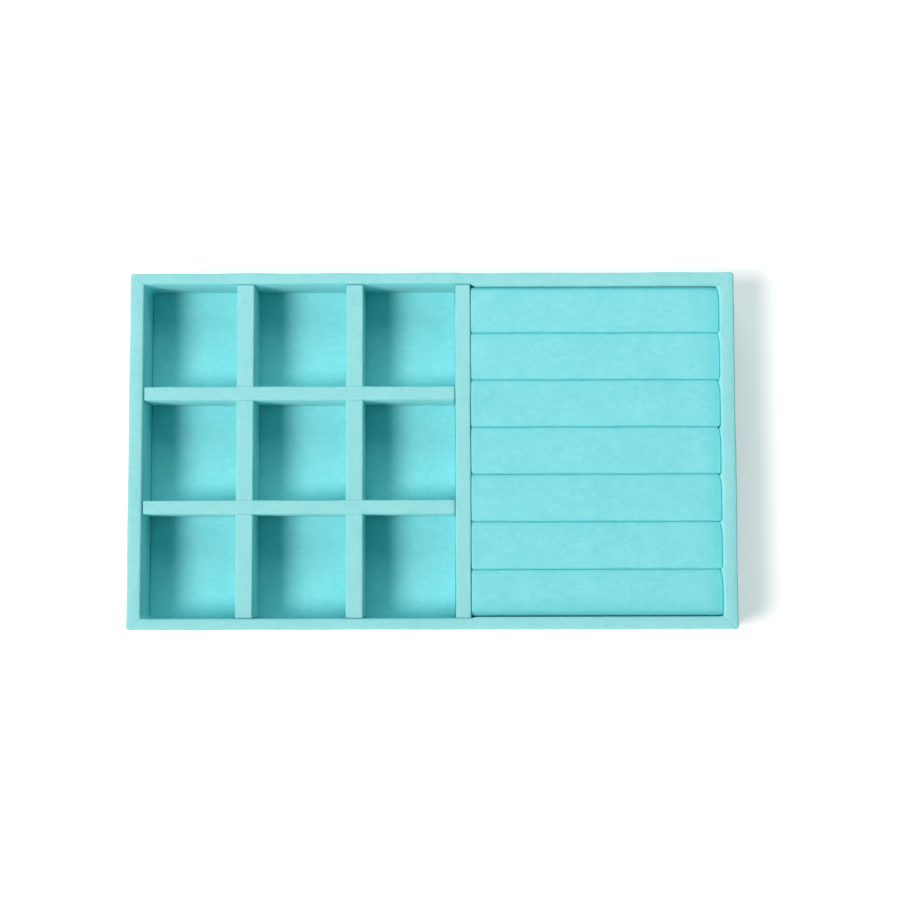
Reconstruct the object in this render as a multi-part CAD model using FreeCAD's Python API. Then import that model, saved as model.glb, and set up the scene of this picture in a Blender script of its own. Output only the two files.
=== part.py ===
import FreeCAD, Part
import math
import os

# A shallow jewelry tray of boards glued up and covered in velvet. The left part has a grid of
# compartments made by loose slotted dividers, the right part a lift-out cushion of ring rolls.
# Millimetres. X runs left to right, Y front to back, Z up. The origin is under the middle of the tray.

# Outside of the tray
tray_length = 230.0
tray_width = 135.5
tray_height = 25.0

# Boards and sheets
velvet = 0.9
lining_sheet = 1.0
base_board = 2.5
end_wall_board = 3.7
long_wall_board = 2.5
floor_card = 1.5
partition_board = 4.2
column_board = 4.9
row_board = 3.6
insert_board = 2.0

# Velvet folds
rim_radius = 0.8
hem_radius = 0.8
turn_in = 9.0
lining_margin = 0.5

# Compartments
ring_bay_length = 94.7
left_compartment_width = 35.3
middle_compartment_depth = 37.8
divider_drop = 0.5
divider_radius = 0.7
column_end_gap = 0.1
row_wall_gap = 0.5
row_partition_gap = 0.1
floor_left_gap = 0.6
floor_gap = 0.2
lap_height = 9.3
lap_clearance = 0.15

# Ring insert
roll_count = 7
roll_drop = 0.8
roll_slit = 0.2
roll_crown = 0.4
roll_tuck = 0.4
roll_shoulder = 1.2
roll_wall_end_radius = 1.5
roll_partition_end_radius = 0.6
roll_back_corner_radius = 2.5
roll_front_corner_radius = 0.8
insert_end_gap = 0.2
insert_back_gap = 1.1
insert_front_gap = 0.3

# Thinnest rounding left on a foam bar under its velvet
least_radius = 0.2

# Levels
board_bottom = lining_sheet
base_top = board_bottom + base_board
floor_top = base_top + floor_card + velvet
divider_top = tray_height - divider_drop
lap_level = floor_top + lap_height
insert_top = base_top + insert_board
roll_top = tray_height - roll_drop

# Plan
half_length = tray_length / 2
half_width = tray_width / 2
end_wall = end_wall_board + 2 * velvet
long_wall = long_wall_board + 2 * velvet
inner_x = half_length - end_wall
inner_y = half_width - long_wall
partition_thickness = partition_board + 2 * velvet
column_thickness = column_board + 2 * velvet
row_thickness = row_board + 2 * velvet
partition_right = inner_x - ring_bay_length
partition_left = partition_right - partition_thickness
left_column_left = -inner_x + left_compartment_width
left_column_right = left_column_left + column_thickness
column_centres = [
    left_column_left + column_thickness / 2,
    (left_column_right + partition_left) / 2,
]
row_centres = [
    (middle_compartment_depth + row_thickness) / 2,
    -(middle_compartment_depth + row_thickness) / 2,
]


def box(x_range, y_range, z_range):
    """Plain block between the given limits."""
    size = [limits[1] - limits[0] for limits in (x_range, y_range, z_range)]
    return Part.makeBox(*size, FreeCAD.Vector(x_range[0], y_range[0], z_range[0]))


def rounded_face(corners, place):
    """Flat face in an outline of straight edges and tangent arcs.

    Each corner is (u, v, radius), and place turns (u, v) into a point in space.
    """
    count = len(corners)
    arcs = []
    for index, (u, v, radius) in enumerate(corners):
        corner = FreeCAD.Vector(u, v, 0)
        before = FreeCAD.Vector(*corners[index - 1][:2], 0) - corner
        after = FreeCAD.Vector(*corners[(index + 1) % count][:2], 0) - corner
        before.normalize()
        after.normalize()
        half_angle = before.getAngle(after) / 2
        setback = radius / math.tan(half_angle)
        inward = (before + after).normalize()
        middle = corner + inward * (radius / math.sin(half_angle) - radius)
        arcs.append([corner + before * setback, middle, corner + after * setback])
    edges = []
    for index, (start, middle, end) in enumerate(arcs):
        if corners[index][2] > 0:
            points = [place(point.x, point.y) for point in (start, middle, end)]
            edges.append(Part.Arc(*points).toShape())
        following = arcs[(index + 1) % count][0]
        run = (place(end.x, end.y), place(following.x, following.y))
        edges.append(Part.LineSegment(*run).toShape())
    return Part.Face(Part.Wire(edges))


def wall_point(side, along, depth, z):
    """Point of a wall, from the distance along it, the depth in from its outer face, and the height."""
    if side == "left":
        return FreeCAD.Vector(depth - half_length, along, z)
    if side == "right":
        return FreeCAD.Vector(half_length - depth, along, z)
    if side == "front":
        return FreeCAD.Vector(along, depth - half_width, z)
    return FreeCAD.Vector(along, half_width - depth, z)


def mitre_wedge(side):
    """Block that holds one wall between its two mitre cuts, from rim corner to inner corner and on."""
    reach = 1 + turn_in / min(end_wall, long_wall)
    is_end = side in ("left", "right")
    thickness = end_wall if is_end else long_wall
    half_run = half_width if is_end else half_length
    narrowing = long_wall if is_end else end_wall
    inner_run = half_run - reach * narrowing
    plan = [(-half_run, 0), (half_run, 0), (inner_run, reach * thickness), (-inner_run, reach * thickness)]
    points = [wall_point(side, along, depth, 0) for along, depth in plan]
    face = Part.Face(Part.makePolygon(points + points[:1]))
    return face.extrude(FreeCAD.Vector(0, 0, tray_height))


def mitred_wall(side, profile):
    """Profile of (depth, z, radius) corners run the length of a wall and cut at both mitres."""
    half_run = half_width if side in ("left", "right") else half_length
    face = rounded_face(profile, lambda depth, z: wall_point(side, -half_run, depth, z))
    run = wall_point(side, half_run, 0, 0) - wall_point(side, -half_run, 0, 0)
    return face.extrude(run).common(mitre_wedge(side))


def wall_thickness(side):
    """Wall with its velvet on both faces."""
    return end_wall if side in ("left", "right") else long_wall


def wall_board(side):
    """Upright board of one wall, standing on the turned-in hem."""
    inner = wall_thickness(side) - velvet
    top = tray_height - velvet
    profile = [(velvet, board_bottom, 0), (inner, board_bottom, 0), (inner, top, 0), (velvet, top, 0)]
    return mitred_wall(side, profile)


def wall_cover(side):
    """Velvet from the base up the inner face, over the rim, down outside and in under the base."""
    thickness = wall_thickness(side)
    rounding = min(rim_radius, thickness / 2 - velvet / 2)
    hem_bottom = board_bottom - velvet
    profile = [
        (0, hem_bottom, hem_radius),
        (0, tray_height, rounding),
        (thickness, tray_height, rounding),
        (thickness, base_top, 0),
        (thickness - velvet, base_top, 0),
        (thickness - velvet, tray_height - velvet, 0),
        (velvet, tray_height - velvet, 0),
        (velvet, board_bottom, 0),
        (turn_in, board_bottom, 0),
        (turn_in, hem_bottom, 0),
    ]
    return mitred_wall(side, profile)


def base():
    """Board between the walls that carries the floor and the insert."""
    x_half = inner_x + velvet
    y_half = inner_y + velvet
    return box((-x_half, x_half), (-y_half, y_half), (board_bottom, base_top))


def lining():
    """Sheet glued under the base, inside the turned-in hems; the tray stands on it."""
    x_half = half_length - turn_in - lining_margin
    y_half = half_width - turn_in - lining_margin
    return box((-x_half, x_half), (-y_half, y_half), (0, lining_sheet))


def floor_layer(bottom, top):
    """Layer of the compartment floor, cut small enough to drop in between the walls and the partition."""
    x_range = (-inner_x + floor_left_gap, partition_left - floor_gap)
    y_half = inner_y - floor_gap
    return box(x_range, (-y_half, y_half), (bottom, top))


def strip_point(runs_along, along, across, z):
    """Point of a strip that runs along X or along Y."""
    if runs_along == "x":
        return FreeCAD.Vector(along, across, z)
    return FreeCAD.Vector(across, along, z)


def strip_block(runs_along, along_range, across_range, z_range):
    """Plain block set out along a strip."""
    if runs_along == "x":
        return box(along_range, across_range, z_range)
    return box(across_range, along_range, z_range)


def wrapped_strip(runs_along, centre, thickness, along_range, z_range):
    """Upright board and the velvet wrapped over its faces, top and ends, as (board, cover)."""
    start, end = along_range
    bottom, top = z_range
    near = centre - thickness / 2
    far = centre + thickness / 2
    rounding = min(divider_radius, thickness / 2 - velvet / 2)
    section = [(near, bottom, 0), (far, bottom, 0), (far, top, rounding), (near, top, rounding)]
    plan = [(start, near, rounding), (end, near, rounding), (end, far, rounding), (start, far, rounding)]
    section_face = rounded_face(section, lambda across, z: strip_point(runs_along, start, across, z))
    plan_face = rounded_face(plan, lambda along, across: strip_point(runs_along, along, across, bottom))
    run = strip_point(runs_along, end - start, 0, 0)
    envelope = section_face.extrude(run).common(plan_face.extrude(FreeCAD.Vector(0, 0, top - bottom)))
    board = strip_block(
        runs_along,
        (start + velvet, end - velvet),
        (near + velvet, far - velvet),
        (bottom, top - velvet),
    )
    return board, envelope.cut(board)


def partition():
    """Glued-in partition between the compartments and the ring bay, wall to wall on the base."""
    centre = (partition_left + partition_right) / 2
    return wrapped_strip("y", centre, partition_thickness, (-inner_y, inner_y), (base_top, divider_top))


def column_divider(centre):
    """Divider from front to back, slotted from the top where the rows cross."""
    reach = inner_y - column_end_gap
    pieces = wrapped_strip("y", centre, column_thickness, (-reach, reach), (floor_top, divider_top))
    half_slot = row_thickness / 2 + lap_clearance
    across_range = (centre - column_thickness, centre + column_thickness)
    for row_centre in row_centres:
        along_range = (row_centre - half_slot, row_centre + half_slot)
        slot = strip_block("y", along_range, across_range, (lap_level, tray_height))
        pieces = [piece.cut(slot) for piece in pieces]
    return pieces


def row_divider(centre):
    """Divider from left to right, slotted from below where it sits over the columns."""
    along_range = (-inner_x + row_wall_gap, partition_left - row_partition_gap)
    pieces = wrapped_strip("x", centre, row_thickness, along_range, (floor_top, divider_top))
    half_slot = column_thickness / 2 + lap_clearance
    across_range = (centre - row_thickness, centre + row_thickness)
    for column_centre in column_centres:
        slot_range = (column_centre - half_slot, column_centre + half_slot)
        slot = strip_block("x", slot_range, across_range, (base_top, lap_level + lap_clearance))
        pieces = [piece.cut(slot) for piece in pieces]
    return pieces


insert_left = partition_right + insert_end_gap
insert_right = inner_x - insert_end_gap
insert_back = inner_y - insert_back_gap
insert_front = insert_front_gap - inner_y
roll_pitch = (insert_back - insert_front + roll_slit) / roll_count
roll_width = roll_pitch - roll_slit


def insert_base():
    """Loose board that carries the ring rolls."""
    return box((insert_left, insert_right), (insert_front, insert_back), (base_top, insert_top))


def roll_section(centre, inset):
    """Crowned section of a roll: tucked-in sides, round shoulders and a low crown, all in tangent arcs."""
    half = roll_width / 2 - inset
    top = roll_top - inset
    shoulder = max(roll_shoulder - inset, least_radius)
    crown_radius = ((roll_width / 2) ** 2 + roll_crown**2) / (2 * roll_crown) - inset
    crown_z = top - crown_radius
    shoulder_y = half - shoulder
    shoulder_z = crown_z + math.sqrt((crown_radius - shoulder) ** 2 - shoulder_y**2)
    lean = math.atan2(shoulder_y, shoulder_z - crown_z)
    middle_turn = (lean + math.pi / 2) / 2
    foot = half - roll_tuck

    def point(side, y, z):
        return FreeCAD.Vector(insert_left, centre + side * y, z)

    def on_shoulder(side, turn):
        return point(side, shoulder_y + shoulder * math.sin(turn), shoulder_z + shoulder * math.cos(turn))

    edges = [Part.LineSegment(point(-1, foot, insert_top), point(1, foot, insert_top)).toShape()]
    for side in (1, -1):
        edges.append(Part.LineSegment(point(side, foot, insert_top), point(side, half, shoulder_z)).toShape())
        turns = (math.pi / 2, middle_turn, lean)
        edges.append(Part.Arc(*[on_shoulder(side, turn) for turn in turns]).toShape())
    crown = (on_shoulder(1, lean), point(1, 0, top), on_shoulder(-1, lean))
    edges.append(Part.Arc(*crown).toShape())
    return Part.Face(Part.Wire(Part.__sortEdges__(edges)))


def roll_form(centre, inset):
    """Roll with its ends rounded over at the top and its corners rounded in plan."""
    left = insert_left + inset
    right = insert_right - inset
    half = roll_width / 2 - inset
    top = roll_top - inset
    partition_end = max(roll_partition_end_radius - inset, least_radius)
    wall_end = max(roll_wall_end_radius - inset, least_radius)
    back_corner = max(roll_back_corner_radius - inset, least_radius)
    front_corner = max(roll_front_corner_radius - inset, least_radius)
    bar = roll_section(centre, inset).extrude(FreeCAD.Vector(insert_right - insert_left, 0, 0))
    elevation = [
        (left, insert_top, 0),
        (right, insert_top, 0),
        (right, top, wall_end),
        (left, top, partition_end),
    ]
    plan = [
        (left, centre - half, partition_end),
        (right, centre - half, front_corner),
        (right, centre + half, back_corner),
        (left, centre + half, partition_end),
    ]
    elevation_face = rounded_face(elevation, lambda x, z: FreeCAD.Vector(x, centre - half, z))
    plan_face = rounded_face(plan, lambda x, y: FreeCAD.Vector(x, y, insert_top))
    side_block = elevation_face.extrude(FreeCAD.Vector(0, 2 * half, 0))
    plan_block = plan_face.extrude(FreeCAD.Vector(0, 0, top - insert_top))
    return bar.common(side_block).common(plan_block)


def ring_roll(centre):
    """Foam bar and the velvet wrapped over its top, sides and ends, as (foam, cover)."""
    foam = roll_form(centre, velvet)
    return foam, roll_form(centre, 0).cut(foam)


def all_pieces():
    """Every piece of the tray by its node name."""
    pieces = {"base_board": base(), "base_lining": lining()}
    for side in ("back", "front", "left", "right"):
        pieces[f"{side}_wall_board"] = wall_board(side)
        pieces[f"{side}_wall_cover"] = wall_cover(side)
    pieces["floor_card"] = floor_layer(base_top, base_top + floor_card)
    pieces["floor_velvet"] = floor_layer(base_top + floor_card, floor_top)
    pieces["partition_board"], pieces["partition_cover"] = partition()
    for name, centre in zip(("left", "right"), column_centres):
        board, cover = column_divider(centre)
        pieces[f"{name}_column_board"] = board
        pieces[f"{name}_column_cover"] = cover
    for name, centre in zip(("back", "front"), row_centres):
        board, cover = row_divider(centre)
        pieces[f"{name}_row_board"] = board
        pieces[f"{name}_row_cover"] = cover
    pieces["ring_insert_board"] = insert_base()
    for number in range(1, roll_count + 1):
        foam, cover = ring_roll(insert_back + roll_slit / 2 - (number - 0.5) * roll_pitch)
        pieces[f"ring_foam_{number}"] = foam
        pieces[f"ring_cover_{number}"] = cover
    return pieces


os.makedirs("parts", exist_ok=True)
for node, shape in all_pieces().items():
    solids = shape.Solids
    print(node, len(solids), "solid", round(shape.Volume, 1), "cubic mm", shape.isValid())
    solid = solids[0] if len(solids) == 1 else shape
    solid.exportStep(f"parts/{node}.step")
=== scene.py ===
import math

import bmesh
import bpy
import numpy as np
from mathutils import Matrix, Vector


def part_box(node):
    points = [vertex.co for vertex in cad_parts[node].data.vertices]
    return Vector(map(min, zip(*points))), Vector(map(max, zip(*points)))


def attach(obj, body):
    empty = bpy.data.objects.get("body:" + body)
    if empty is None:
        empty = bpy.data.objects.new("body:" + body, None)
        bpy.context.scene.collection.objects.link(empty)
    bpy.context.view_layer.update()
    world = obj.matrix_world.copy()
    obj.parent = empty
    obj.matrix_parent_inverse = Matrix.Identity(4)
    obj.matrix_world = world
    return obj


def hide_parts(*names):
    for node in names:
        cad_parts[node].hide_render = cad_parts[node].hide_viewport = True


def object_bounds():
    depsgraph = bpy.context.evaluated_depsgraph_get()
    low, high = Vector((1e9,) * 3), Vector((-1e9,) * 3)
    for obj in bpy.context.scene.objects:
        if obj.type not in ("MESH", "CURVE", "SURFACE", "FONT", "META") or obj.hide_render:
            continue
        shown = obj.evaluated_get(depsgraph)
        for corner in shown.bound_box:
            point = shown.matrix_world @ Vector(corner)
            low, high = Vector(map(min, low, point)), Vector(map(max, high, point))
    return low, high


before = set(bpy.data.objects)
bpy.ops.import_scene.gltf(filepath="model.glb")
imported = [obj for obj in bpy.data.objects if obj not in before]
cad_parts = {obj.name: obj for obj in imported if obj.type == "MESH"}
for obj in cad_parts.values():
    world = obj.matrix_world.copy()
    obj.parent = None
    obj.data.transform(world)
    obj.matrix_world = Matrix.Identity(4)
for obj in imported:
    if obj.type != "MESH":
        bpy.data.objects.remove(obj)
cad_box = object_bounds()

# The hardboard: base, walls, partition and dividers are sawn from raw brown hardboard. The dividers are
# slotted together and the rest is glued. Velvet hides the boards, but they show in the slots, and the
# base shows when the ring insert is lifted out.
HARDBOARD_DARK = (0.13, 0.07, 0.035, 1)
HARDBOARD_PALE = (0.3, 0.185, 0.1, 1)
FIBRE_SIZE = 0.0012
FIBRE_STRETCH = (1, 2.5, 2.5)
FIBRE_DETAIL = 6
FIBRE_WEIGHT = 1.6
BLOTCH_SIZE = 0.012
BLOTCH_DETAIL = 3
BLOTCH_WEIGHT = 0.8
HARDBOARD_ROUGHNESS = 0.8
FIBRE_RELIEF = 0.00008
# The sockets of a Mix node that mixes colours: its factor, both colours, and the result.
MIX_FACTOR, MIX_LOW, MIX_HIGH, MIX_RESULT = 0, 6, 7, 2


def new_material(name):
    """Node material with a Principled shader; returns it with its nodes, links and shader."""
    material = bpy.data.materials.new(name)
    material.use_nodes = True
    tree = material.node_tree
    return material, tree.nodes, tree.links, tree.nodes["Principled BSDF"]


def cloudy(nodes, links, place, size, detail, stretch=(1, 1, 1)):
    """Noise whose lumps are about size across; stretch above 1 shortens them along that axis."""
    mapping = nodes.new("ShaderNodeMapping")
    mapping.inputs["Scale"].default_value = [s / size for s in stretch]
    links.new(place, mapping.inputs["Vector"])
    noise = nodes.new("ShaderNodeTexNoise")
    noise.inputs["Scale"].default_value = 1
    noise.inputs["Detail"].default_value = detail
    links.new(mapping.outputs["Vector"], noise.inputs["Vector"])
    return noise.outputs["Fac"]


def weighted(nodes, links, parts):
    """Sum of noises, each less its middle value and times its weight, set around one half."""
    total = 0.5 - sum(weight for _, weight in parts) / 2
    for noise, weight in parts:
        add = nodes.new("ShaderNodeMath")
        add.operation = "MULTIPLY_ADD"
        links.new(noise, add.inputs[0])
        add.inputs[1].default_value = weight
        if isinstance(total, float):
            add.inputs[2].default_value = total
        else:
            links.new(total, add.inputs[2])
        total = add.outputs[0]
    return total


def between(nodes, links, factor, low, high):
    """Colour from low at factor 0 to high at factor 1."""
    mix = nodes.new("ShaderNodeMix")
    mix.data_type = "RGBA"
    links.new(factor, mix.inputs[MIX_FACTOR])
    mix.inputs[MIX_LOW].default_value = low
    mix.inputs[MIX_HIGH].default_value = high
    return mix.outputs[MIX_RESULT]


def relief(nodes, links, shader, height, depth, strength=1.0):
    """Bump of the given depth in metres on a shader."""
    bump = nodes.new("ShaderNodeBump")
    bump.inputs["Strength"].default_value = strength
    bump.inputs["Distance"].default_value = depth
    links.new(height, bump.inputs["Height"])
    links.new(bump.outputs["Normal"], shader.inputs["Normal"])


def hardboard():
    """Brown pressed fibre: short fibres over soft blotches."""
    material, nodes, links, shader = new_material("hardboard")
    place = nodes.new("ShaderNodeTexCoord").outputs["Object"]
    fibres = cloudy(nodes, links, place, FIBRE_SIZE, FIBRE_DETAIL, stretch=FIBRE_STRETCH)
    blotches = cloudy(nodes, links, place, BLOTCH_SIZE, BLOTCH_DETAIL)
    tone = weighted(nodes, links, [(fibres, FIBRE_WEIGHT), (blotches, BLOTCH_WEIGHT)])
    links.new(between(nodes, links, tone, HARDBOARD_DARK, HARDBOARD_PALE), shader.inputs["Base Color"])
    shader.inputs["Roughness"].default_value = HARDBOARD_ROUGHNESS
    relief(nodes, links, shader, fibres, FIBRE_RELIEF)
    return material


def paint(node, material):
    """Gives a CAD node its finish in all its slots."""
    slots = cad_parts[node].data.materials
    for index in range(len(slots)):
        slots[index] = material


WALL_SIDES = ("back", "front", "left", "right")
COLUMN_SIDES = ("left", "right")
ROW_SIDES = ("back", "front")
raw_board = hardboard()
for board in (
    ["base_board", "partition_board"]
    + [f"{side}_wall_board" for side in WALL_SIDES]
    + [f"{side}_column_board" for side in COLUMN_SIDES]
    + [f"{side}_row_board" for side in ROW_SIDES]
):
    paint(board, raw_board)

# The greyboard: the floor card and the ring insert's board are cut from recycled grey card,
# glued under the velvet floor and under the rolls.
GREYBOARD_DARK = (0.24, 0.22, 0.19, 1)
GREYBOARD_PALE = (0.4, 0.375, 0.33, 1)
PULP_SIZE = 0.0009
PULP_DETAIL = 4
PULP_WEIGHT = 1.5
PULP_CLOUD_SIZE = 0.009
PULP_CLOUD_DETAIL = 2
PULP_CLOUD_WEIGHT = 0.6
GREYBOARD_ROUGHNESS = 0.9


def greyboard():
    """Recycled card: fine specks of pulp over faint clouds."""
    material, nodes, links, shader = new_material("greyboard")
    place = nodes.new("ShaderNodeTexCoord").outputs["Object"]
    pulp = cloudy(nodes, links, place, PULP_SIZE, PULP_DETAIL)
    clouds = cloudy(nodes, links, place, PULP_CLOUD_SIZE, PULP_CLOUD_DETAIL)
    tone = weighted(nodes, links, [(pulp, PULP_WEIGHT), (clouds, PULP_CLOUD_WEIGHT)])
    links.new(between(nodes, links, tone, GREYBOARD_DARK, GREYBOARD_PALE), shader.inputs["Base Color"])
    shader.inputs["Roughness"].default_value = GREYBOARD_ROUGHNESS
    relief(nodes, links, shader, pulp, FIBRE_RELIEF)
    return material


grey_card = greyboard()
for card in ("floor_card", "ring_insert_board"):
    paint(card, grey_card)

# The wall wraps: one strip of velvet for each wall, glued up its inner face, over the rim, down the
# outside and in under the base, with the strips mitred into each other at the corners.
WRAP_DEEP = (0.24, 0.685, 0.7, 1)
WRAP_PALE = (0.355, 0.78, 0.795, 1)
# The tint that painted shade multiplies in, where the wraps' upright faces stand in shade.
WRAP_PAINTED_SHADE_TINT = (0.79, 1.0, 1.0, 1)
PILE_SIZE = 0.0007
PILE_WEIGHT = 0.9
NAP_LENGTH = 0.007
NAP_WIDTH = 0.0009
NAP_WEIGHT = 0.5
MOTTLE_SIZE = 0.0025
MOTTLE_WEIGHT = 0.6
BRUSHED_SIZE = 0.012
BRUSHED_WEIGHT = 0.5
CLOTH_DETAIL = 2
PILE_RELIEF = 0.00016
PILE_STRENGTH = 0.6
VELVET_ROUGHNESS = 0.95
VELVET_SPECULAR = 0.12
SHEEN_WEIGHT = 0.18
SHEEN_ROUGHNESS = 0.4
SHEEN_TINT = (0.75, 1.0, 1.0, 1)
WAVE_COUNT = 12
WAVE_SPREAD = (0.7, 1.4)
WAVE_GAIN = 2.5
MERGE_DISTANCE = 2e-6
COLLAPSE_DISTANCE = 1e-6
RIM_RADIUS = 0.0008
HEM_RADIUS = 0.0008
RIM_CROWN = 0.00015
CLOTH_STEP = 0.0012
BEND_STEPS = 8
CREASE_DEPTH = 0.00035
CREASE_WIDTH = 0.00045
CREASE_BELOW_RIM = 0.3
OUTER_CORNER = 0.14
INNER_CORNER = 0.12
CORNER_WIDTH = 0.0014
MITRE_FINE = (0.0012, 8)
MITRE_COARSE = (0.004, 7)
MITRE_CALM = 0.002
WRAP_DRIFT = 0.00012
WRAP_WAVES = (0.03, 0.007)
WRAP_RIPPLE = 0.4
CLOTH_GAP = 0.00005
ROLL_COUNT = 7
PUFF_HEIGHT = 0.001
PUFF_RUN = 0.005
PUFF_RISE = 0.05
PUFF_DROP = 0.009
BAY_PUFFS = {"back": 0.00099, "front": 0.0005}
BAY_PUFF_RUN = 0.0015
BAY_PUFF_END = 0.0004
SEED_STEP = 10


def velvet(name, deep, pale, painted_shade_tint):
    """Short pile: fine specks of pile, nap brushed along the cloth, mottling and broad soft patches, with
    sheen. Its colour is multiplied by the given darker tint as painted shade, as far as the mesh's
    painted-shade attribute says."""
    material, nodes, links, shader = new_material(name)
    coords = nodes.new("ShaderNodeTexCoord")
    place, along = coords.outputs["Object"], coords.outputs["UV"]
    pile = cloudy(nodes, links, place, PILE_SIZE, CLOTH_DETAIL)
    nap = cloudy(nodes, links, along, NAP_WIDTH, CLOTH_DETAIL, stretch=(NAP_WIDTH / NAP_LENGTH, 1, 1))
    mottle = cloudy(nodes, links, place, MOTTLE_SIZE, CLOTH_DETAIL)
    patches = cloudy(nodes, links, place, BRUSHED_SIZE, CLOTH_DETAIL)
    tone = weighted(
        nodes,
        links,
        [(pile, PILE_WEIGHT), (nap, NAP_WEIGHT), (mottle, MOTTLE_WEIGHT), (patches, BRUSHED_WEIGHT)],
    )
    # Painted shade: a mesh attribute from 0 to 1 multiplies the colour by the darker tint.
    painted_shade = nodes.new("ShaderNodeAttribute")
    painted_shade.attribute_name = "painted_shade"
    deepen = nodes.new("ShaderNodeMix")
    deepen.data_type = "RGBA"
    deepen.blend_type = "MULTIPLY"
    links.new(painted_shade.outputs["Fac"], deepen.inputs[MIX_FACTOR])
    links.new(between(nodes, links, tone, deep, pale), deepen.inputs[MIX_LOW])
    deepen.inputs[MIX_HIGH].default_value = painted_shade_tint
    links.new(deepen.outputs[MIX_RESULT], shader.inputs["Base Color"])
    shader.inputs["Roughness"].default_value = VELVET_ROUGHNESS
    shader.inputs["Specular IOR Level"].default_value = VELVET_SPECULAR
    shader.inputs["Sheen Weight"].default_value = SHEEN_WEIGHT
    shader.inputs["Sheen Roughness"].default_value = SHEEN_ROUGHNESS
    shader.inputs["Sheen Tint"].default_value = SHEEN_TINT
    relief(nodes, links, shader, pile, PILE_RELIEF, PILE_STRENGTH)
    return material


def drift(points, wavelength, seed):
    """Smooth waviness, about -1 to 1: the average of sine waves about one wavelength long, with seeded
    directions, lengths and phases, times a gain."""
    draw = np.random.default_rng(seed)
    heading = draw.normal(size=(WAVE_COUNT, 3))
    heading /= np.linalg.norm(heading, axis=1, keepdims=True)
    turns = heading / (wavelength * draw.uniform(*WAVE_SPREAD, (WAVE_COUNT, 1)))
    waves = np.sin(2 * np.pi * (points @ turns.T + draw.uniform(0, 1, WAVE_COUNT)))
    return waves.mean(axis=-1) * WAVE_GAIN


def unevenness(points, wavelengths, ripple, seed):
    """Long drift and ripple times a short drift, lowered by 1 so that the cloth seldom stands proud."""
    long, short = wavelengths
    return drift(points, long, seed) + ripple * drift(points, short, seed + 1) - 1


def samples(start, end, step, marks=()):
    """Even places from start to end, no more than step apart, with the marks that lie between added."""
    count = max(1, math.ceil(abs(end - start) / step))
    inside = [m for m in marks if min(start, end) < m < max(start, end)]
    places = np.unique(np.concatenate([np.linspace(start, end, count + 1), inside]))
    return places if end >= start else places[::-1]


def rounded_line(corners, step):
    """Open line of straight runs and tangent quarter bends through (u, v, radius) corners, with the
    normals on its right-hand side."""
    corners = np.array(corners, float)
    points, normals = [], []
    start = corners[0, :2]
    for index in range(1, len(corners)):
        corner, radius = corners[index, :2], corners[index, 2]
        heading = corner - corners[index - 1, :2]
        heading /= np.linalg.norm(heading)
        right = np.array([heading[1], -heading[0]])
        end = corner - heading * radius
        run = samples(0, np.linalg.norm(end - start), step)
        points.append(start + run[:, None] * heading)
        normals.append(np.tile(right, (len(run), 1)))
        if radius > 0:
            onward = corners[index + 1, :2] - corner
            onward /= np.linalg.norm(onward)
            centre = end + onward * radius
            turn = np.linspace(0, np.pi / 2, BEND_STEPS + 1)[1:-1, None]
            spoke = np.cos(turn) * (end - centre) / radius + np.sin(turn) * heading
            points.append(centre + radius * spoke)
            normals.append(spoke)
            start = corner + onward * radius
    return np.concatenate(points), np.concatenate(normals)


def cloth_piece(name, points, outward, cloth, material, keep=None, foot=False, painted_shade=None):
    """Object of quads between the grid points [row, column], facing along outward, with the cloth's own
    flat coordinates as its UV map; keep says which quads stay, foot closes the rim with a flat face, and
    the last argument is the painted shade at each point, from 0 to 1, stored as a mesh attribute."""
    rows, columns = points.shape[:2]
    index = np.arange(rows * columns).reshape(rows, columns)
    quads = np.stack([index[:-1, :-1], index[:-1, 1:], index[1:, 1:], index[1:, :-1]], axis=-1)
    quads = quads.reshape(-1, 4) if keep is None else quads[keep]
    flat = points.reshape(-1, 3)
    quad_normals = np.cross(flat[quads[:, 2]] - flat[quads[:, 0]], flat[quads[:, 3]] - flat[quads[:, 1]])
    if (quad_normals * outward.reshape(-1, 3)[quads[:, 0]]).sum() < 0:
        quads = quads[:, ::-1]
    mesh = bpy.data.meshes.new(name)
    mesh.from_pydata(flat.tolist(), [], quads.tolist())
    layer = mesh.uv_layers.new(name="cloth")
    layer.data.foreach_set("uv", cloth.reshape(-1, 2)[quads.ravel()].astype(np.float32).ravel())
    if painted_shade is not None:
        attribute = mesh.attributes.new("painted_shade", "FLOAT", "POINT")
        attribute.data.foreach_set("value", painted_shade.astype(np.float32).ravel())
    joined = bmesh.new()
    joined.from_mesh(mesh)
    bmesh.ops.remove_doubles(joined, verts=joined.verts, dist=MERGE_DISTANCE)
    bmesh.ops.dissolve_degenerate(joined, edges=joined.edges, dist=COLLAPSE_DISTANCE)
    loose = [v for v in joined.verts if not v.link_faces]
    bmesh.ops.delete(joined, geom=loose, context="VERTS")
    if foot:
        rim = [edge for edge in joined.edges if edge.is_boundary]
        bmesh.ops.holes_fill(joined, edges=rim, sides=0)
    joined.to_mesh(mesh)
    joined.free()
    mesh.polygons.foreach_set("use_smooth", np.ones(len(mesh.polygons), bool))
    mesh.materials.append(material)
    piece = bpy.data.objects.new(name, mesh)
    bpy.context.scene.collection.objects.link(piece)
    return piece


def thicken(piece, thickness):
    """Gives a cloth its thickness on its glued side."""
    solid = piece.modifiers.new("thickness", "SOLIDIFY")
    solid.thickness = thickness
    solid.offset = -1


def lengths(line):
    """Running length along a line of points."""
    return np.concatenate([[0], np.cumsum(np.linalg.norm(np.diff(line, axis=0), axis=1))])


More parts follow.
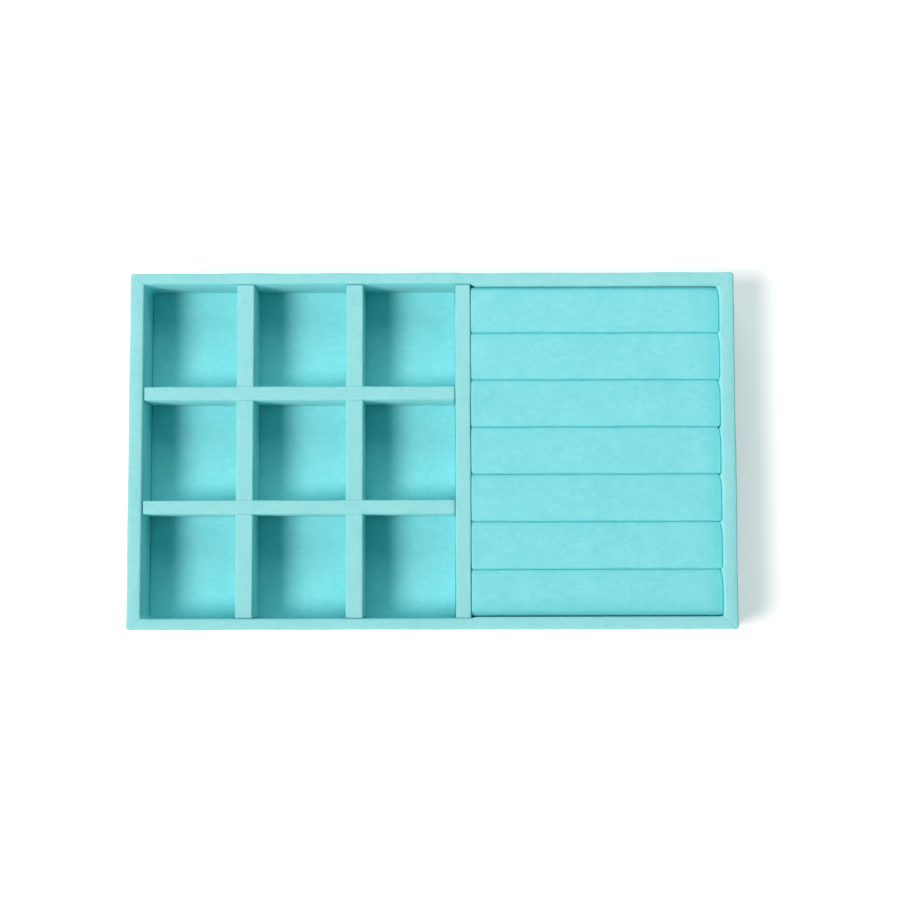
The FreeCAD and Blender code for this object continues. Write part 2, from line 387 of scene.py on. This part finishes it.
tray_low, tray_high = (np.array(corner) for corner in cad_box)
velvet_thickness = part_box("left_wall_board")[0].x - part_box("left_wall_cover")[0].x
base_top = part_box("base_board")[1].z
hem_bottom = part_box("left_wall_cover")[0].z
hem_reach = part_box("left_wall_cover")[1].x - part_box("left_wall_cover")[0].x
end_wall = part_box("left_wall_board")[1].x - tray_low[0] + velvet_thickness
long_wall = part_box("front_wall_board")[1].y - tray_low[1] + velvet_thickness
wrap_velvet = velvet("wrap_velvet", WRAP_DEEP, WRAP_PALE, WRAP_PAINTED_SHADE_TINT)


def roll_puffs(y):
    """Puffs of the right wall's velvet beside the back corner of each ring roll, where the roll leaves
    the wall: it rises steeply to the roll's back edge and falls off forwards with a square."""
    puff = np.zeros_like(y)
    for number in range(1, ROLL_COUNT + 1):
        back_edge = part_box(f"ring_cover_{number}")[1].y
        forwards = np.clip((back_edge - y) / PUFF_RUN, -PUFF_RISE, 1)
        puff = np.maximum(puff, np.where(forwards < 0, 1 + forwards / PUFF_RISE, (1 - forwards) ** 2))
    return PUFF_HEIGHT * puff


def bay_puff(x, to_mitre):
    """Puff of a long wall's velvet along the ring bay, from 0 to 1, where it fills the slack at the rolls:
    a smooth step up at the partition, and a short straight ramp down to the mitre."""
    inside = np.clip((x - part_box("ring_insert_board")[0].x) / BAY_PUFF_RUN, 0, 1)
    return inside**2 * (3 - 2 * inside) * np.clip(to_mitre / BAY_PUFF_END, 0, 1)


def wall_wrap(side, seed):
    """Profile over the wall carried along it between the two mitres; near a mitre the cloth is drawn
    into a crease and the corners are rounded. Puffs hang from the rim's inner edge as a quarter oval."""
    is_end = side in ("left", "right")
    thickness, narrowing = (end_wall, long_wall) if is_end else (long_wall, end_wall)
    inward = {"left": (1, 0), "right": (-1, 0), "front": (0, 1), "back": (0, -1)}[side]
    inward = np.array(inward, float)
    along = np.array([abs(inward[1]), abs(inward[0])])
    half_run, outer = (tray_high[1], tray_high[0]) if is_end else (tray_high[0], tray_high[1])
    profile, normal = rounded_line(
        [
            (thickness, base_top, 0),
            (thickness, tray_high[2], RIM_RADIUS),
            (0, tray_high[2], RIM_RADIUS),
            (0, hem_bottom, HEM_RADIUS),
            (hem_reach, hem_bottom, 0),
        ],
        CLOTH_STEP,
    )
    depth, z = profile[:, 0], profile[:, 1]
    (fine_end, fine_steps), (coarse_end, coarse_steps) = MITRE_FINE, MITRE_COARSE
    fine = np.linspace(0, fine_end, fine_steps, endpoint=False)
    coarse = np.linspace(fine_end, coarse_end, coarse_steps, endpoint=False)
    half = np.concatenate([fine, coarse, samples(coarse_end, half_run, CLOTH_STEP)[:-1]])
    place = np.concatenate([half / half_run - 1, [0], (1 - half / half_run)[::-1]])
    limit = half_run - depth * narrowing / thickness
    run = place[None, :] * limit[:, None]
    to_mitre = limit[:, None] - np.abs(run)

    share = np.clip(depth / thickness, 0, 1)
    upright = np.clip((z - hem_bottom) / HEM_RADIUS, 0, 1)
    corner = thickness * (OUTER_CORNER * (1 - share) + INNER_CORNER * share) * upright
    rounding = corner[:, None] * np.clip(1 - to_mitre / CORNER_WIDTH, 0, 1) ** 2
    if side != "left":
        puff = roll_puffs(run) if side == "right" else BAY_PUFFS[side] * bay_puff(run, to_mitre)
        below_rim = np.clip((tray_high[2] - z) / PUFF_DROP, 0, 1)
        in_inner_third = np.clip(3 * share - 2, 0, 1)
        rounding = rounding + puff * (np.sqrt(1 - below_rim**2) * in_inner_third)[:, None]
    base = np.zeros((len(depth), len(place), 3))
    base[..., :2] = (depth[:, None, None] + rounding[..., None] - outer) * inward + run[..., None] * along
    base[..., 2] = z[:, None]
    outward = np.zeros_like(base)
    outward[..., :2] = normal[:, None, :1] * inward
    outward[..., 2] = normal[:, None, 1]

    on_rim = np.clip((z - tray_high[2] + 2 * RIM_RADIUS) / RIM_RADIUS, CREASE_BELOW_RIM, 1)
    crown = RIM_CROWN * np.clip(normal[:, 1], 0, 1) * np.sin(np.pi * share)
    crease = CREASE_DEPTH * on_rim[:, None] * np.exp(-((to_mitre / CREASE_WIDTH) ** 2))
    uneven = WRAP_DRIFT * unevenness(base, WRAP_WAVES, WRAP_RIPPLE, seed)
    settled = np.clip(to_mitre / MITRE_CALM, 0, 1) * (1 - share)[:, None]
    points = base + outward * (crown[:, None] - crease + uneven * settled)[..., None]
    cloth = np.stack(np.broadcast_arrays(run, lengths(profile)[:, None]), axis=-1)
    # Painted shade: the upright faces of the wrap get the darker tint, its rim top and the hem underneath
    # do not.
    painted_shade = np.broadcast_to(1 - np.abs(normal[:, 1:]), run.shape)
    piece = cloth_piece(f"{side}_wall_velvet", points, outward, cloth, wrap_velvet, painted_shade=painted_shade)
    thicken(piece, velvet_thickness - CLOTH_GAP)
    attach(piece, "tray")
    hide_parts(f"{side}_wall_cover")


for number, side in enumerate(WALL_SIDES):
    wall_wrap(side, SEED_STEP * number)

# The lining: a sheet of flocked paper glued under the base between the turned-in hems. The tray
# stands on it.
LINING_DEEP = (0.13, 0.4, 0.4, 1)
LINING_PALE = (0.2, 0.5, 0.5, 1)
LINING_EDGE = 0.0004
LINING_CORNER = 0.0005
LINING_EDGE_STEP = 0.004
LINING_INNER_STEP = 0.006
FLOCK_WEIGHT = 1.0
FLOCK_CLOUD_WEIGHT = 0.6
FLOCK_ROUGHNESS = 0.95
FLOCK_SHEEN = 0.1
FLOCK_STRENGTH = 0.4


def rounded_outline(x_range, y_range, radii, step, x_marks=(), y_marks=()):
    """Closed outline of a rectangle with rounded corners, run anticlockwise from the front left, with
    its outward normals. The radii are for the front right, back right, back left and front left."""
    (x0, x1), (y0, y1) = x_range, y_range
    right_front, right_back, left_back, left_front = radii
    runs = [
        (samples(x0 + left_front, x1 - right_front, step, x_marks), None, y0, (0, -1)),
        (None, samples(y0 + right_front, y1 - right_back, step, y_marks), x1, (1, 0)),
        (samples(x1 - right_back, x0 + left_back, step, x_marks), None, y1, (0, 1)),
        (None, samples(y1 - left_back, y0 + left_front, step, y_marks), x0, (-1, 0)),
    ]
    centres = [
        (x1 - right_front, y0 + right_front),
        (x1 - right_back, y1 - right_back),
        (x0 + left_back, y1 - left_back),
        (x0 + left_front, y0 + left_front),
    ]
    points, normals = [], []
    for quarter, ((x, y, level, normal), centre, radius) in enumerate(zip(runs, centres, radii)):
        side = np.stack(np.broadcast_arrays(level if x is None else x, level if y is None else y), -1)
        turn = np.pi / 2 * (quarter - 1 + np.linspace(0, 1, BEND_STEPS + 1)[1:-1])
        spoke = np.stack([np.cos(turn), np.sin(turn)], axis=-1)
        points += [side, np.array(centre) + radius * spoke]
        normals += [np.tile(normal, (len(side), 1)), spoke]
    points += [points[0][:1]]
    normals += [normals[0][:1]]
    return np.concatenate(points), np.concatenate(normals)


def loops(outline, normals, inset, z, x_range, y_range):
    """Outline set in by inset[row] at height z[row], stopping at the middle line of the rectangle."""
    inset = np.broadcast_to(np.atleast_2d(inset.T).T, (len(z), len(outline)))
    z = np.broadcast_to(np.atleast_2d(z.T).T, inset.shape)
    moved = outline - inset[..., None] * normals
    for axis, (low, high) in enumerate((x_range, y_range)):
        middle = (low + high) / 2
        lowest = np.minimum(low + inset, middle)
        highest = np.maximum(high - inset, middle)
        moved[..., axis] = np.clip(moved[..., axis], lowest, highest)
    return np.concatenate([moved, z[..., None]], axis=-1)


def facing(normals, tilt):
    """Outward directions for loops whose rows lean back by tilt from upright sides to a level top."""
    tilt = np.broadcast_to(np.atleast_2d(tilt.T).T, (len(tilt), len(normals)))
    side = np.cos(tilt)[..., None] * normals
    return np.concatenate([side, np.sin(tilt)[..., None]], axis=-1)


def flocked_paper():
    """Thin flock on paper: fine specks of one colour with faint clouds."""
    material, nodes, links, shader = new_material("underside_lining")
    place = nodes.new("ShaderNodeTexCoord").outputs["Object"]
    specks = cloudy(nodes, links, place, PILE_SIZE, CLOTH_DETAIL)
    clouds = cloudy(nodes, links, place, BRUSHED_SIZE, CLOTH_DETAIL)
    tone = weighted(nodes, links, [(specks, FLOCK_WEIGHT), (clouds, FLOCK_CLOUD_WEIGHT)])
    links.new(between(nodes, links, tone, LINING_DEEP, LINING_PALE), shader.inputs["Base Color"])
    shader.inputs["Roughness"].default_value = FLOCK_ROUGHNESS
    shader.inputs["Sheen Weight"].default_value = FLOCK_SHEEN
    relief(nodes, links, shader, specks, PILE_RELIEF, FLOCK_STRENGTH)
    return material


def lining_sheet():
    """Flat slab with softly rounded lower edges: loops down the sides and in under the bottom."""
    low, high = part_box("base_lining")
    x_range, y_range = (low.x, high.x), (low.y, high.y)
    outline, normals = rounded_outline(x_range, y_range, [LINING_CORNER] * 4, LINING_EDGE_STEP)
    turn = np.linspace(0, np.pi / 2, BEND_STEPS + 1)
    half = (high.y - low.y) / 2
    under = samples(LINING_EDGE, half, LINING_INNER_STEP)[1:]
    top = np.array([half, 0])
    inset = np.concatenate([top, LINING_EDGE * (1 - np.cos(turn)), under])
    z = np.concatenate(
        [np.full(2, high.z), low.z + LINING_EDGE * (1 - np.sin(turn)), np.full(len(under), low.z)]
    )
    tilt = np.concatenate([[np.pi / 2, np.pi / 4], -turn, np.full(len(under), -np.pi / 2)])
    points = loops(outline, normals, inset, z, x_range, y_range)
    piece = cloth_piece(
        "underside_lining", points, facing(normals, tilt), points[..., :2].copy(), flocked_paper()
    )
    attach(piece, "tray")
    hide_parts("base_lining")


lining_sheet()

# The compartment floor: a card covered in velvet, drawn over its edges, and dropped in loose between
# the walls and the partition. It is cut short on the left, where its rounded edge leaves a groove.
PAD_DEEP = (0.166, 0.685, 0.72, 1)
PAD_PALE = (0.278, 0.793, 0.833, 1)
# The tint that painted shade multiplies in, in the rolls' slits and grooves and at their wall ends.
PAD_PAINTED_SHADE_TINT = (0.78, 0.97, 0.98, 1)
FLOOR_OVERHANG = 0.00018
FLOOR_LEFT_OVERHANG = 0.00057
FLOOR_EDGE = 0.0001
FLOOR_LEFT_EDGE = 0.0006
FLOOR_CLOTH = 0.0001
FLOOR_DRIFT = 0.00008
FLOOR_WAVES = (0.03, 0.01)
FLOOR_RIPPLE = 0.5
FLOOR_SEED = 71
FLOOR_STEP = 0.0016

pad_velvet = velvet("pad_velvet", PAD_DEEP, PAD_PALE, PAD_PAINTED_SHADE_TINT)


def arch(start, end, tall, shoulders, tilt, step):
    """Line up an upright at start, over a level top and down an upright at end. Oval arcs, which reach in
    and drop by the shoulders and lean by the tilt where they begin, join them. Returns the (place, height)
    points, and which of the runs between them are on the uprights."""
    up = np.linspace(0, 1, math.ceil(tall / step) + 1)[:-1]
    turn = np.linspace(tilt, 0, BEND_STEPS + 1)
    inward = 1 - np.sin(turn) / math.sin(tilt)
    down = (1 - np.cos(turn)) / (1 - math.cos(tilt))
    sides = []
    for place, other, (reach, drop) in ((start, end, shoulders[0]), (end, start, shoulders[1])):
        over = place + math.copysign(reach, other - place) * inward
        height = np.concatenate([up * (tall - drop), tall - drop * down])
        sides.append(np.stack([np.concatenate([np.full(len(up), place), over]), height], axis=-1))
    first, last = sides[0], sides[1][::-1]
    level = samples(first[-1, 0], last[0, 0], step)[1:-1]
    top = np.stack([level, np.full(len(level), tall)], axis=-1)
    line = np.concatenate([first, top, last])
    upright = np.zeros(len(line) - 1, bool)
    upright[: len(up)] = upright[-len(up) :] = True
    return line, upright


def pillow(outline, section, tall):
    """Surface of a flat-topped block as a product of two arches: its outline from the front (x, height) and
    its section from the end (across, height). Returns x, across and height at [station, place], and which
    quads to keep: where two uprights meet, they only cover a corner line."""
    (front_line, on_end), (end_line, on_side) = outline, section
    x, z = front_line.T
    across, rise = end_line.T
    height = z[:, None] * (rise / tall)
    keep = ~(on_end[:, None] & on_side)
    return x[:, None] + 0 * height, across + 0 * height, height, keep


def floor_velvet():
    """The card's outline times its section, with square edges but for the left one, and a slight swell."""
    low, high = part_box("floor_velvet")
    left, right = low.x - FLOOR_LEFT_OVERHANG, high.x + FLOOR_OVERHANG
    half = high.y + FLOOR_OVERHANG
    bottom = base_top + CLOTH_GAP + FLOOR_CLOTH
    tall = high.z - bottom
    edge, left_edge = (FLOOR_EDGE, FLOOR_EDGE), (FLOOR_LEFT_EDGE, FLOOR_LEFT_EDGE)
    outline = arch(right, left, tall, (edge, left_edge), math.pi / 2, FLOOR_STEP)
    section = arch(half, -half, tall, (edge, edge), math.pi / 2, FLOOR_STEP)
    x, across, height, keep = pillow(outline, section, tall)
    points = np.stack([x, across, bottom + height], axis=-1)
    swell = unevenness(points, FLOOR_WAVES, FLOOR_RIPPLE, FLOOR_SEED)
    points[..., 2] += FLOOR_DRIFT * swell * height / tall
    middle = np.array([(left + right) / 2, 0, bottom])
    cloth = points[..., :2].copy()
    piece = cloth_piece("floor_velvet_top", points, points - middle, cloth, pad_velvet, keep=keep)
    thicken(piece, FLOOR_CLOTH)
    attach(piece, "tray")
    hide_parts("floor_velvet")


floor_velvet()

# The partition: a board wrapped in velvet over its faces, top and ends, glued in from wall to wall
# between the compartments and the ring bay.
DIVIDER_RADIUS = 0.0007
DIVIDER_DRIFT = 0.0001
DIVIDER_WAVES = (0.03, 0.008)
FLUSH_RADIUS = 0.00015
CROSSING_RUN = 0.004
FOOT_RUN = 0.004
FLUSH_MARKS = 9
PARTITION_SEED = 81


def cover_profile(bottom, top, radius, half, step, marks=()):
    """Section of a wrapped edge at each place round it: up the side, round the shoulder of that place's
    radius, in over the top to the middle. Returns the inset, height and tilt of [row, place]."""
    radius = np.atleast_2d(radius)
    side = samples(bottom, top - radius.max(), step, marks)[:, None]
    turn = np.linspace(0, np.pi / 2, BEND_STEPS + 1)[:, None]
    over = samples(0, 1, step / half)[1:, None]
    level = np.zeros_like(radius)
    inset = [level * side, radius * (1 - np.cos(turn)), radius + over * (half - radius)]
    z = [level + side, top - radius * (1 - np.sin(turn)), level * over + top]
    tilt = [level * side, level + turn, level * over + np.pi / 2]
    return np.concatenate(inset), np.concatenate(z), np.concatenate(tilt)


def cloth_flat(outline, inset, z):
    """The cloth's own coordinates: how far round the edge, and how far up and over."""
    up = lengths(np.stack([inset[:, 0], z[:, 0]], axis=-1))
    return np.stack(np.meshgrid(lengths(outline), up), axis=-1)


def strip_wrap(name, cover, body, seed, cuts=(), below=None, above=None, flush=(), longer=(0, 0)):
    """Loops up the sides of an upright board and in over its top. Quads inside a cut, below or above
    its level, are left out as the slot. Along a flush stretch the top edge is not rounded, so that it
    runs into a strip that crosses there. The pile makes its two ends longer by the given lengths."""
    low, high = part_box(cover)
    runs_x = high.x - low.x > high.y - low.y
    x_range, y_range = (low.x, high.x), (low.y, high.y)
    if runs_x:
        x_range = (low.x - longer[0], high.x + longer[1])
    else:
        y_range = (low.y - longer[0], high.y + longer[1])
    stretches = list(cuts) + list(flush)
    marks = [edge for stretch in stretches for edge in stretch]
    marks += [edge + step * DIVIDER_RADIUS for edge in marks for step in np.linspace(-1, 1, FLUSH_MARKS)]
    levels = [level for level in (below, above) if level is not None]
    half = min(high.x - low.x, high.y - low.y) / 2
    outline, normals = rounded_outline(
        x_range,
        y_range,
        [DIVIDER_RADIUS] * 4,
        CLOTH_STEP,
        x_marks=marks if runs_x else (),
        y_marks=() if runs_x else marks,
    )
    run = outline[:, 0 if runs_x else 1]
    radius = np.full(len(outline), DIVIDER_RADIUS)
    for start, end in flush:
        away = np.clip(np.maximum(start - run, run - end) / DIVIDER_RADIUS, 0, 1)
        radius = np.minimum(radius, FLUSH_RADIUS + DIVIDER_RADIUS * (1 - np.sqrt(1 - away**2)))
    inset, z, tilt = cover_profile(low.z, high.z, radius, half, CLOTH_STEP, levels)
    points = loops(outline, normals, inset, z, x_range, y_range)
    outward = facing(normals, tilt)

    middle = (points[:-1, :-1] + points[1:, 1:]) / 2
    place = middle[..., 0 if runs_x else 1]
    in_cut = np.zeros(place.shape, bool)
    for start, end in cuts:
        in_cut |= (place > start) & (place < end)
    if below is not None:
        in_cut &= middle[..., 2] < below
    if above is not None:
        in_cut &= middle[..., 2] > above

    calm = np.ones(len(run))
    for start, end in stretches:
        calm = np.minimum(calm, np.clip(np.maximum(start - run, run - end) / CROSSING_RUN, 0, 1))
    uneven = unevenness(points, DIVIDER_WAVES, WRAP_RIPPLE, seed) * calm
    settled = np.clip((z - low.z) / FOOT_RUN, 0, 1)
    points = points + outward * (DIVIDER_DRIFT * uneven * settled)[..., None]
    cloth = cloth_flat(outline, inset, z)
    # Painted shade: the upright sides get the darker tint, fading out over the shoulders to none on the
    # top.
    piece = cloth_piece(name, points, outward, cloth, wrap_velvet, keep=~in_cut, painted_shade=np.cos(tilt))
    thicken(piece, velvet_thickness - CLOTH_GAP)
    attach(piece, body)
    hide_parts(cover)


strip_wrap("partition_velvet", "partition_cover", "tray", PARTITION_SEED)

# The column dividers: wrapped boards from front to back, standing loose on the floor, slotted from the
# top to half height where the rows cross them.
LAP_HEIGHT = 0.0093
LAP_CLEARANCE = 0.00015
PILE_CLEARANCE = 0.00004
END_PILE = 0.00007
COLUMN_SEED = 91

lap_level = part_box("floor_velvet")[1].z + LAP_HEIGHT
row_cuts = []
for side in ROW_SIDES:
    row_low, row_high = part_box(f"{side}_row_cover")
    row_cuts.append((row_low.y - PILE_CLEARANCE, row_high.y + PILE_CLEARANCE))
for number, side in enumerate(COLUMN_SIDES):
    strip_wrap(
        f"{side}_column_velvet",
        f"{side}_column_cover",
        "column_dividers",
        COLUMN_SEED + SEED_STEP * number,
        cuts=row_cuts,
        above=lap_level,
        longer=(END_PILE, END_PILE),
    )

# The row dividers: wrapped boards from left to right, slotted from below, pushed down over the columns
# until the tops are level and the piles meet. Their fuller left ends leave a fine gap to the wall.
LEFT_END_PILE = 0.00035
ROW_SEED = 111

column_cuts = []
columns = []
for side in COLUMN_SIDES:
    column_low, column_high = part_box(f"{side}_column_cover")
    columns.append((column_low.x + DIVIDER_RADIUS, column_high.x - DIVIDER_RADIUS))
    column_cuts.append((column_low.x - LAP_CLEARANCE, column_high.x + LAP_CLEARANCE))
for number, side in enumerate(ROW_SIDES):
    strip_wrap(
        f"{side}_row_velvet",
        f"{side}_row_cover",
        f"{side}_row_divider",
        ROW_SEED + SEED_STEP * number,
        cuts=column_cuts,
        below=lap_level + LAP_CLEARANCE,
        flush=columns,
        longer=(LEFT_END_PILE, END_PILE),
    )

# The ring rolls: bars of foam wrapped in velvet and glued side by side on the insert's board, so tight
# that their piles meet and only a fine slit is left between two of them for the ring bands.
ROLL_FULLER = 0.0001
ROLL_END_FULLER = 0.00017
ROLL_SHOULDER = (0.0012, 0.0008)
FIRST_SHOULDER = (0.0026, 0.0016)
LAST_SHOULDER = (0.0024, 0.004)
LAST_SLACK = 0.0002
SHOULDER_TILT = math.radians(65)
ROLL_LEFT_END = 0.0004
ROLL_WALL_END = 0.0006
END_DROOP = 0.0007
END_RUN = 0.006
ROLL_CROWN = 0.0004
ROLL_TUCK = 0.0004
ROLL_BACK_BOW = (0.001, 0.005)
ROLL_FRONT_BOW = (0.0005, 0.0015)
ROLL_BOW_RUN = 0.006
ROLL_DRIFT = 0.00015
ROLL_WAVES = (0.025, 0.007)
ROLL_SEED = 200
ROLL_STEP = 0.0011
# Widths over which painted shade fades in: at the wall end, beside a slit, behind the first roll and in
# front of the last.
PAINTED_SHADE_END = 0.009
PAINTED_SHADE_SLIT = 0.0013
PAINTED_SHADE_FIRST = 0.003
PAINTED_SHADE_LAST = 0.008


def ring_roll(number):
    """Section of a roll carried along it, as a product of two lines: the section's height over the foot
    is scaled at each station to the roll's outline seen from the front. The wall end droops, and bows in
    plan. The last roll has a little slack at its front."""
    cover = f"ring_cover_{number}"
    low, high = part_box(cover)
    slack = LAST_SLACK if number == ROLL_COUNT else 0
    half = (high.y - low.y - slack) / 2 + ROLL_FULLER
    tall = high.z - low.z
    back_shoulder = FIRST_SHOULDER if number == 1 else ROLL_SHOULDER
    front_shoulder = LAST_SHOULDER if number == ROLL_COUNT else ROLL_SHOULDER
    left, right = low.x - ROLL_END_FULLER, high.x + ROLL_END_FULLER
    ends = (ROLL_WALL_END, ROLL_WALL_END), (ROLL_LEFT_END, ROLL_LEFT_END)
    section = arch(half, -half, tall, (back_shoulder, front_shoulder), SHOULDER_TILT, ROLL_STEP)
    outline = arch(right, left, tall, ends, math.pi / 2, ROLL_STEP)
    near_wall = np.clip(1 - (right - outline[0][:, 0]) / END_RUN, 0, 1)
    outline[0][:, 1] *= 1 - END_DROOP / tall * near_wall**2
    x, across, height, keep = pillow(outline, section, tall)
    across = across * (1 - ROLL_TUCK / half * (1 - height / tall))
    height = height - ROLL_CROWN * (across / half) ** 2 * (height / tall) ** 2
    (back_bow, back_reach), (front_bow, front_reach) = ROLL_BACK_BOW, ROLL_FRONT_BOW
    back = back_bow * np.clip(1 + (across - half) / back_reach, 0, 1) ** 2
    front = front_bow * np.clip(1 - (across + half) / front_reach, 0, 1) ** 2
    bow = (back + front) * np.clip(1 - (right - x) / ROLL_BOW_RUN, 0, 1) ** 2
    middle = np.array([(low.x + high.x) / 2, (low.y + high.y + slack) / 2, low.z])
    points = np.stack([x - bow, middle[1] + across, low.z + height], axis=-1)
    uneven = unevenness(points, ROLL_WAVES, WRAP_RIPPLE, ROLL_SEED + SEED_STEP * number)
    points[..., 2] += ROLL_DRIFT * uneven * (height / tall) ** 2

    # Painted shade in the rolls' creases: darker towards the wall end, along the slits, and into the
    # grooves at the back and front walls.
    back_shade_width = PAINTED_SHADE_FIRST if number == 1 else PAINTED_SHADE_SLIT
    front_shade_width = PAINTED_SHADE_LAST if number == ROLL_COUNT else PAINTED_SHADE_SLIT
    in_from = ((right - x) / PAINTED_SHADE_END, (half - across) / back_shade_width, (half + across) / front_shade_width)
    painted_shade = 1 - np.clip(np.minimum.reduce(in_from), 0, 1)
    cloth = np.stack(np.meshgrid(lengths(section[0]), lengths(outline[0])), axis=-1)[..., ::-1].copy()
    outward = points - middle
    piece = cloth_piece(
        f"ring_roll_{number}", points, outward, cloth, pad_velvet, keep=keep, foot=True, painted_shade=painted_shade
    )
    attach(piece, "ring_insert")
    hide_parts(cover, f"ring_foam_{number}")


for number in range(1, ROLL_COUNT + 1):
    ring_roll(number)

# The stage: a plain floor that keeps the tray's soft shadow and turns white further out, a dim surround
# that looks white, a large soft lamp from the left with weaker ones behind and low in front, and the
# camera, almost straight above.
GROUND_SIZE = 6.0
GROUND_WHITE = (0.8, 0.8, 0.8, 1)
GROUND_GLOW = 0.35
GROUND_FADE = (0.4, 1.2)
SURROUND_COLOUR = (0.082, 0.155, 0.158, 1)
KEY_DIRECTION = (-0.592, -0.166, 0.789)
KEY_DISTANCE = 6.0
KEY_SIZE = 2.54
KEY_COLOUR = (1.0, 0.8, 0.79)
KEY_POWER = 339.0
BACK_DIRECTION = (0.0, 0.8, 0.6)
BACK_DISTANCE = 1.1
BACK_SIZE = 0.85
BACK_COLOUR = (0.93, 1.0, 1.0)
BACK_POWER = 5.0
FRONT_DIRECTION = (0.0, -0.978, 0.208)
FRONT_DISTANCE = 2.6
FRONT_SIZE = 0.9
FRONT_COLOUR = (0.82, 1.0, 1.0)
FRONT_POWER = 24.0
CAMERA_PLACE = (0.0085, -0.0536, 0.6707)
CAMERA_TURN = (math.radians(4.73), math.radians(0.15), math.radians(-0.15))
CAMERA_LENS = 68.6
CAMERA_SENSOR = 36.0
CAMERA_NEAR = 0.01
WHITE = (1, 1, 1, 1)


def background_rays(nodes, links):
    """1 for a ray that shows the background, from the camera, off gloss or through glass, and else 0."""
    path = nodes.new("ShaderNodeLightPath")
    shows = path.outputs["Is Camera Ray"]
    for kind in ("Is Glossy Ray", "Is Transmission Ray"):
        either = nodes.new("ShaderNodeMath")
        either.operation = "MAXIMUM"
        links.new(shows, either.inputs[0])
        links.new(path.outputs[kind], either.inputs[1])
        shows = either.outputs[0]
    return shows


ground = np.array([(-1, -1), (1, -1), (1, 1), (-1, 1)]) * GROUND_SIZE / 2
floor_mesh = bpy.data.meshes.new("studio_floor")
floor_mesh.from_pydata([(x, y, 0) for x, y in ground.tolist()], [], [(0, 1, 2, 3)])
studio_floor = bpy.data.objects.new("studio_floor", floor_mesh)
bpy.context.scene.collection.objects.link(studio_floor)
floor_finish, floor_nodes, floor_links, floor_shader = new_material("studio_floor")
floor_shader.inputs["Base Color"].default_value = GROUND_WHITE
floor_shader.inputs["Roughness"].default_value = 1.0
floor_shader.inputs["Specular IOR Level"].default_value = 0.0
floor_shader.inputs["Emission Color"].default_value = WHITE
away = floor_nodes.new("ShaderNodeVectorMath")
away.operation = "LENGTH"
floor_links.new(floor_nodes.new("ShaderNodeTexCoord").outputs["Object"], away.inputs[0])
fade = floor_nodes.new("ShaderNodeMapRange")
fade.inputs["From Min"].default_value, fade.inputs["From Max"].default_value = GROUND_FADE
fade.inputs["To Min"].default_value = GROUND_GLOW
floor_links.new(away.outputs["Value"], fade.inputs["Value"])
seen = background_rays(floor_nodes, floor_links)
glow = floor_nodes.new("ShaderNodeMath")
glow.operation = "MULTIPLY"
floor_links.new(seen, glow.inputs[0])
floor_links.new(fade.outputs["Result"], glow.inputs[1])
floor_links.new(glow.outputs[0], floor_shader.inputs["Emission Strength"])
floor_mesh.materials.append(floor_finish)

world = bpy.data.worlds.new("surround")
bpy.context.scene.world = world
world.use_nodes = True
sky_nodes, sky_links = world.node_tree.nodes, world.node_tree.links
sky_seen = background_rays(sky_nodes, sky_links)
sky_colour = between(sky_nodes, sky_links, sky_seen, SURROUND_COLOUR, WHITE)
sky_links.new(sky_colour, sky_nodes["Background"].inputs["Color"])


def soft_lamp(name, direction, distance, size, colour, power):
    """Round area lamp, seen from the tray in the given direction and aimed at the tray."""
    light = bpy.data.lights.new(name, "AREA")
    light.shape = "DISK"
    light.size = size
    light.color = colour
    light.energy = power
    lamp = bpy.data.objects.new(name, light)
    bpy.context.scene.collection.objects.link(lamp)
    lamp.location = np.array(direction) / np.linalg.norm(direction) * distance
    lamp.rotation_mode = "QUATERNION"
    lamp.rotation_quaternion = lamp.location.to_track_quat("Z", "Y")


soft_lamp("key_lamp", KEY_DIRECTION, KEY_DISTANCE, KEY_SIZE, KEY_COLOUR, KEY_POWER)
soft_lamp("back_lamp", BACK_DIRECTION, BACK_DISTANCE, BACK_SIZE, BACK_COLOUR, BACK_POWER)
soft_lamp("front_lamp", FRONT_DIRECTION, FRONT_DISTANCE, FRONT_SIZE, FRONT_COLOUR, FRONT_POWER)

lens = bpy.data.cameras.new("camera")
lens.lens = CAMERA_LENS
lens.sensor_width = CAMERA_SENSOR
lens.clip_start = CAMERA_NEAR
camera = bpy.data.objects.new("camera", lens)
bpy.context.scene.collection.objects.link(camera)
camera.location = CAMERA_PLACE
camera.rotation_mode = "ZYX"
camera.rotation_euler = CAMERA_TURN
bpy.context.scene.camera = camera
bpy.context.scene.view_settings.view_transform = "Standard"
